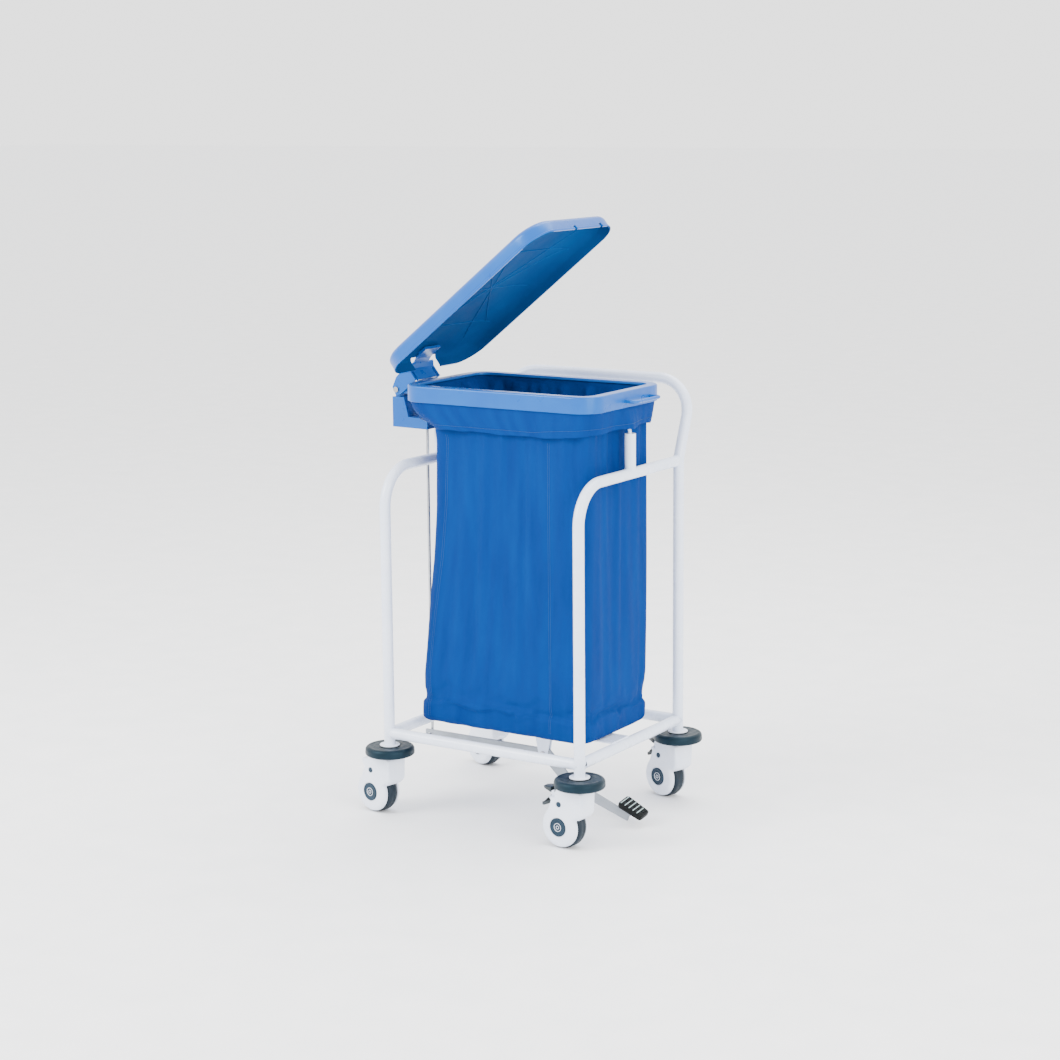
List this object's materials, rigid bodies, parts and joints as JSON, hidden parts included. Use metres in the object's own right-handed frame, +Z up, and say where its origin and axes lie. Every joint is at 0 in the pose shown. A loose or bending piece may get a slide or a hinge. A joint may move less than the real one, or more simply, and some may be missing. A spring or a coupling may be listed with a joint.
{
  "type": "linen trolley",
  "caption": "Hospital linen trolley: white tube frame on braked swivel casters, hanging fabric bag, clamping rim and pedal-operated tilting lid with a push handle.",
  "frame": {"origin": "on the floor, under the middle of the outline's box", "axes": "+Z up, +X towards the pedal and the loop handle, +Y towards the push handle"},
  "size_m": [0.664, 0.5776, 1.3597],
  "materials": {
    "frame_white": "gloss powder coat",
    "blue_plastic": "moulded, light blue, satin gloss",
    "bag_fabric": "woven polyester cotton, royal blue",
    "white_plastic": "moulded, white",
    "bumper_rubber": "slate, satin",
    "tyre_rubber": "slate, matt",
    "wheel_core": "light grey",
    "cap_grey": "slate grey, satin",
    "brake_grey": "dark slate",
    "bare_steel": "zinc plated",
    "lever_grey": "light grey, satin",
    "pad_rubber": "black with pale grid lines"
  },
  "bodies": {
    "frame": {"left_side_tube": "frame_white", "right_side_tube": "frame_white", "handle_frame": "frame_white", "front_base_rail": "frame_white", "rear_base_rail": "frame_white", "left_base_rail": "frame_white", "right_base_rail": "frame_white", "base_strip": "frame_white", "left_ring_post": "frame_white", "right_ring_post": "frame_white", "bag_ring": "frame_white", "hinge_bracket": "blue_plastic", "hinge_pin": "bare_steel", "pedal_hanger": "frame_white", "pedal_pivot_pin": "bare_steel", "laundry_bag": "bag_fabric", "leg_collars": "white_plastic", "caster_stems": "bare_steel", "front_left_bumper": "bumper_rubber", "front_right_bumper": "bumper_rubber", "rear_right_bumper": "bumper_rubber", "rear_left_bumper": "bumper_rubber"},
    "rim": {"clamp_rim": "blue_plastic", "rim_loop_handle": "blue_plastic"},
    "lid": {"lid_crown": "blue_plastic", "lid_skirt": "blue_plastic", "lid_hinge_arm": "blue_plastic"},
    "lift_rod": {"lift_rod": "bare_steel"},
    "pedal": {"pedal_lever": "lever_grey", "pedal_pad": "pad_rubber"},
    "front_left_swivel": {"front_left_shroud": "white_plastic", "front_left_bearing_ring": "bare_steel", "front_left_axle": "bare_steel", "front_left_hub_caps": "cap_grey"},
    "front_left_wheel": {"front_left_tyre": "tyre_rubber", "front_left_wheel_core": "wheel_core"},
    "front_right_brake": {"front_right_brake_lever": "brake_grey"},
    "front_right_swivel": {"front_right_shroud": "white_plastic", "front_right_bearing_ring": "bare_steel", "front_right_axle": "bare_steel", "front_right_hub_caps": "cap_grey", "front_right_brake_pin": "bare_steel"},
    "front_right_wheel": {"front_right_tyre": "tyre_rubber", "front_right_wheel_core": "wheel_core"},
    "rear_right_brake": {"rear_right_brake_lever": "brake_grey"},
    "rear_right_swivel": {"rear_right_shroud": "white_plastic", "rear_right_bearing_ring": "bare_steel", "rear_right_axle": "bare_steel", "rear_right_hub_caps": "cap_grey", "rear_right_brake_pin": "bare_steel"},
    "rear_right_wheel": {"rear_right_tyre": "tyre_rubber", "rear_right_wheel_core": "wheel_core"},
    "rear_left_swivel": {"rear_left_shroud": "white_plastic", "rear_left_bearing_ring": "bare_steel", "rear_left_axle": "bare_steel", "rear_left_hub_caps": "cap_grey"},
    "rear_left_wheel": {"rear_left_tyre": "tyre_rubber", "rear_left_wheel_core": "wheel_core"}
  },
  "joints": [
    {"name": "rim_lift", "type": "hinge", "parent": "frame", "child": "rim", "pos_m": [-0.32, -0.01182, 0.96], "axis": [0, -1, 0], "range_deg": [0, 30]},
    {"name": "lid_hinge", "type": "hinge", "parent": "rim", "child": "lid", "pos_m": [-0.32, -0.01182, 0.96], "axis": [0, -1, 0], "range_deg": [-38.5, 0]},
    {"name": "rod_slide", "type": "slide", "parent": "frame", "child": "lift_rod", "axis": [0, 0, 1], "range_m": [-0.0331, 0]},
    {"name": "pedal_pivot", "type": "hinge", "parent": "frame", "child": "pedal", "pos_m": [0.05, -0.01982, 0.133], "axis": [0, 1, 0], "range_deg": [-6, 0]},
    {"name": "front_left_swivel_joint", "type": "hinge", "parent": "frame", "child": "front_left_swivel", "pos_m": [-0.235, -0.23182, 0.12], "axis": [0, 0, 1], "continuous": true},
    {"name": "front_left_wheel_spin", "type": "hinge", "parent": "front_left_swivel", "child": "front_left_wheel", "pos_m": [-0.27439, -0.22488, 0.05], "axis": [0.1736, 0.9848, 0], "continuous": true},
    {"name": "front_right_swivel_joint", "type": "hinge", "parent": "frame", "child": "front_right_swivel", "pos_m": [0.275, -0.23182, 0.12], "axis": [0, 0, 1], "continuous": true},
    {"name": "front_right_wheel_spin", "type": "hinge", "parent": "front_right_swivel", "child": "front_right_wheel", "pos_m": [0.23515, -0.22834, 0.05], "axis": [0.0872, 0.9962, 0], "continuous": true},
    {"name": "front_right_brake_pivot", "type": "hinge", "parent": "front_right_swivel", "child": "front_right_brake", "pos_m": [0.21822, -0.22686, 0.126], "axis": [-0.0872, -0.9962, 0], "range_deg": [0, 8]},
    {"name": "rear_right_swivel_joint", "type": "hinge", "parent": "frame", "child": "rear_right_swivel", "pos_m": [0.275, 0.20818, 0.12], "axis": [0, 0, 1], "continuous": true},
    {"name": "rear_right_wheel_spin", "type": "hinge", "parent": "rear_right_swivel", "child": "rear_right_wheel", "pos_m": [0.23696, 0.22054, 0.05], "axis": [0.309, 0.9511, 0], "continuous": true},
    {"name": "rear_right_brake_pivot", "type": "hinge", "parent": "rear_right_swivel", "child": "rear_right_brake", "pos_m": [0.22079, 0.22579, 0.126], "axis": [-0.309, -0.9511, 0], "range_deg": [0, 8]},
    {"name": "rear_left_swivel_joint", "type": "hinge", "parent": "frame", "child": "rear_left_swivel", "pos_m": [-0.235, 0.20818, 0.12], "axis": [0, 0, 1], "continuous": true},
    {"name": "rear_left_wheel_spin", "type": "hinge", "parent": "rear_left_swivel", "child": "rear_left_wheel", "pos_m": [-0.27304, 0.22054, 0.05], "axis": [0.309, 0.9511, 0], "continuous": true}
  ],
  "couplings": [
    {"joint": "rod_slide", "follows": "lid_hinge", "m_per_rad": 0.048367},
    {"joint": "pedal_pivot", "follows": "lid_hinge", "ratio": 0.15141}
  ]
}
